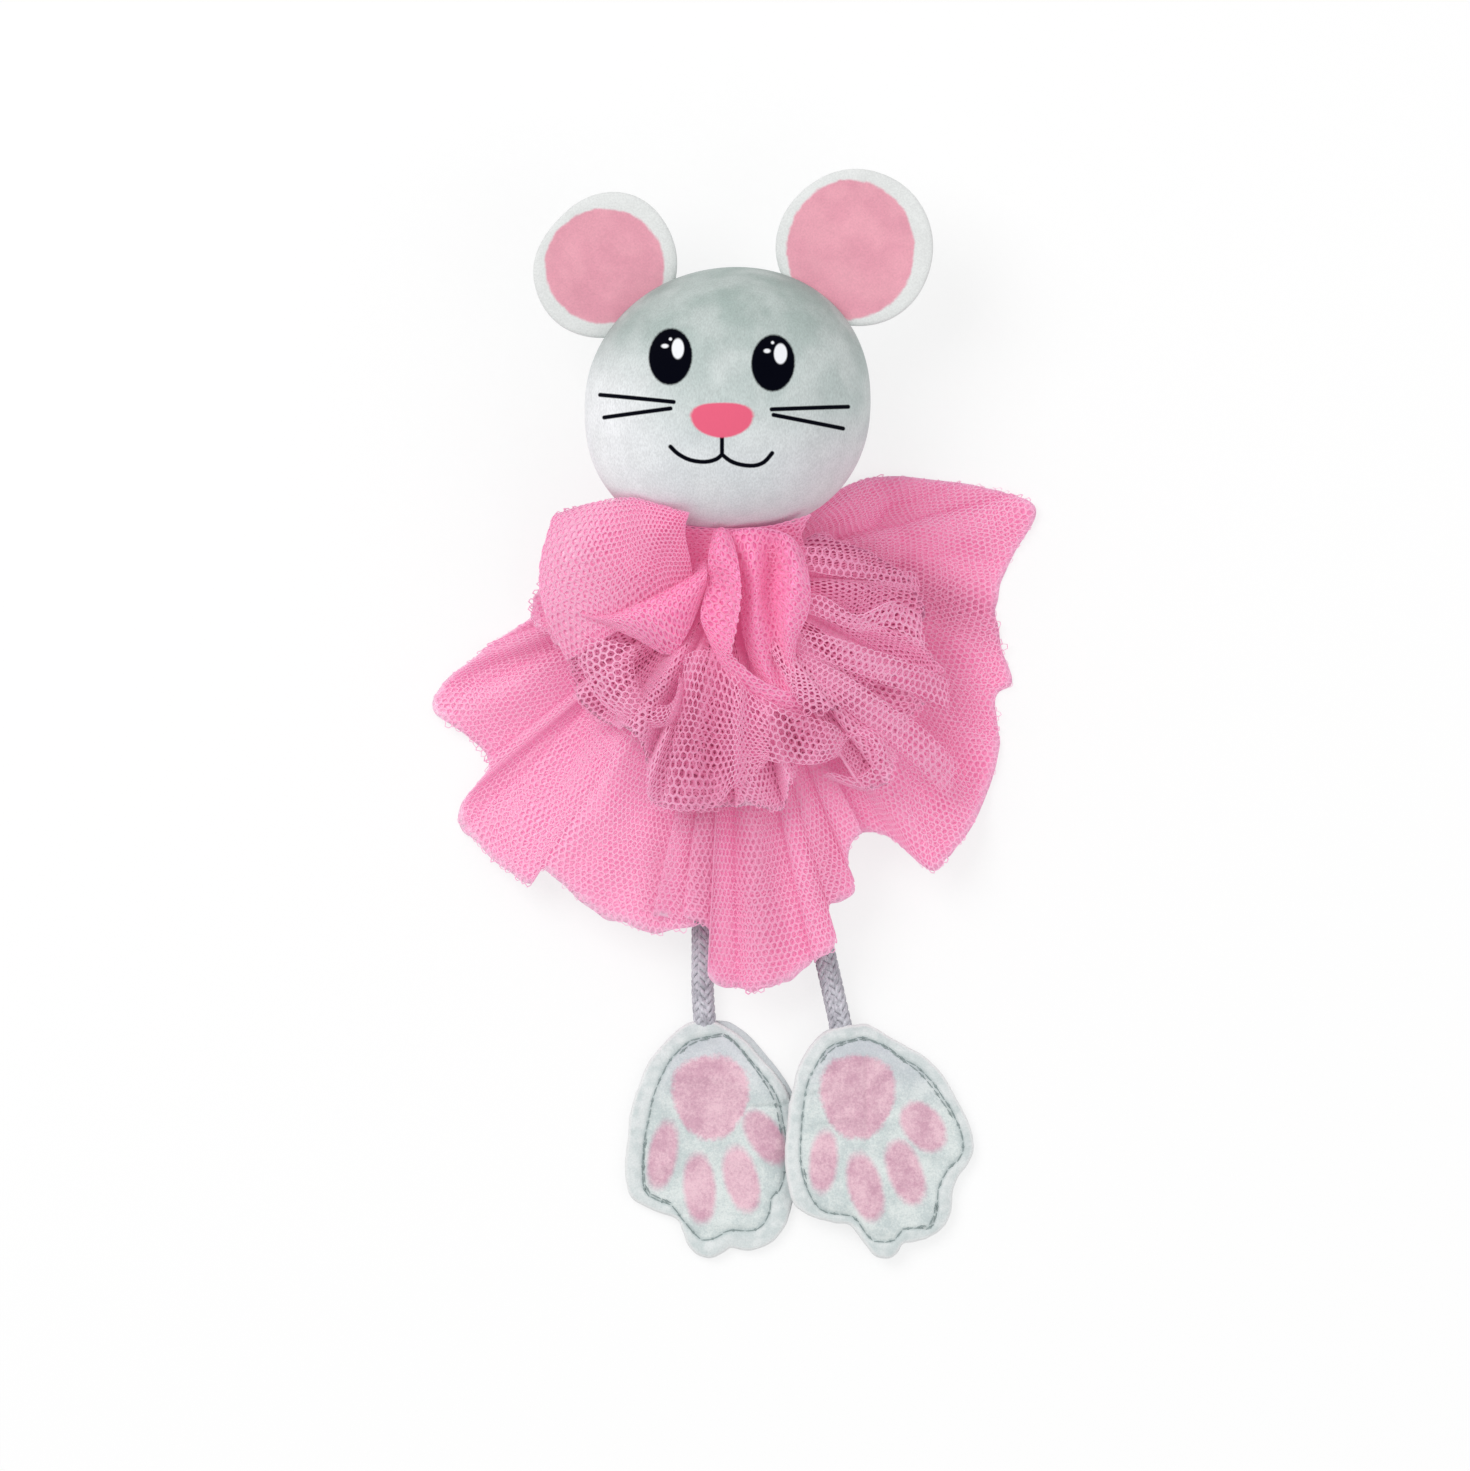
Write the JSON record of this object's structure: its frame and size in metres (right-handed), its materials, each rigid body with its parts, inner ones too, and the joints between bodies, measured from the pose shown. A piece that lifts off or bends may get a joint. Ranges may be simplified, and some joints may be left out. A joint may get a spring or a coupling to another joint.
{
  "type": "soft toy mouse",
  "caption": "Soft toy mouse lying on its back: stuffed velour head, cloth ears, pink net ruffle, braided cord legs and flat cloth paws.",
  "frame": {"origin": "on the surface that the toy lies on, under the middle of its box", "axes": "+Z out of the face, +Y from the paws towards the top of the head, +X to the right of one who looks at the face"},
  "size_m": [0.132, 0.2357, 0.0615],
  "materials": {
    "velour_grey": "matte",
    "velour_pink": "matte",
    "paw_velour": "matte",
    "wadding": "matte",
    "net": "satin",
    "cord": "matte",
    "thread": "satin",
    "film": "gloss"
  },
  "bodies": {
    "torso": {"neck_tie": "thread", "tulle_gather": "net", "tulle_wing": "net", "tulle_fan": "net", "tulle_skirt": "net", "tulle_collar": "net", "tulle_middle": "net", "tulle_ruffle": "net"},
    "head": {"head_front": "velour_grey", "head_back": "velour_grey", "head_fill": "wadding"},
    "ear_left": {"ear_left_front": "velour_pink", "ear_left_back": "velour_grey"},
    "ear_right": {"ear_right_front": "velour_pink", "ear_right_back": "velour_grey"},
    "leg_left": {"leg_cord_left": "cord"},
    "leg_right": {"leg_cord_right": "cord"},
    "paw_left": {"paw_left_front": "paw_velour", "paw_left_film": "film", "paw_left_back": "paw_velour", "paw_left_stitching": "thread"},
    "paw_right": {"paw_right_front": "paw_velour", "paw_right_film": "film", "paw_right_back": "paw_velour", "paw_right_stitching": "thread"}
  },
  "joints": [
    {"name": "head_turn", "type": "hinge", "parent": "torso", "child": "head", "pos_m": [-0.0015, 0.0388, 0.0305], "axis": [0, 1, 0], "range_deg": [-35, 35]},
    {"name": "ear_left_bend", "type": "hinge", "parent": "head", "child": "ear_left", "pos_m": [-0.02237, 0.09018, 0.0305], "axis": [0.7314, 0.682, 0], "range_deg": [-20, 30], "stiffness_Nm_per_rad": 0.01},
    {"name": "ear_right_bend", "type": "hinge", "parent": "head", "child": "ear_right", "pos_m": [0.01787, 0.0913, 0.0305], "axis": [0.7716, -0.6361, 0], "range_deg": [-20, 30], "stiffness_Nm_per_rad": 0.01},
    {"name": "leg_left_swing", "type": "hinge", "parent": "torso", "child": "leg_left", "pos_m": [-0.0015, 0.0305, 0], "axis": [0, 0, 1], "range_deg": [-8, 0]},
    {"name": "leg_right_swing", "type": "hinge", "parent": "torso", "child": "leg_right", "pos_m": [-0.0015, 0.0305, 0], "axis": [0, 0, 1], "range_deg": [0, 8]},
    {"name": "paw_left_turn", "type": "hinge", "parent": "leg_left", "child": "paw_left", "pos_m": [-0.0065, -0.0675, 0.002], "axis": [0, 0, 1], "range_deg": [-25, 0]},
    {"name": "paw_right_turn", "type": "hinge", "parent": "leg_right", "child": "paw_right", "pos_m": [0.023, -0.068, 0.004], "axis": [0, 0, 1], "range_deg": [0, 25]}
  ]
}
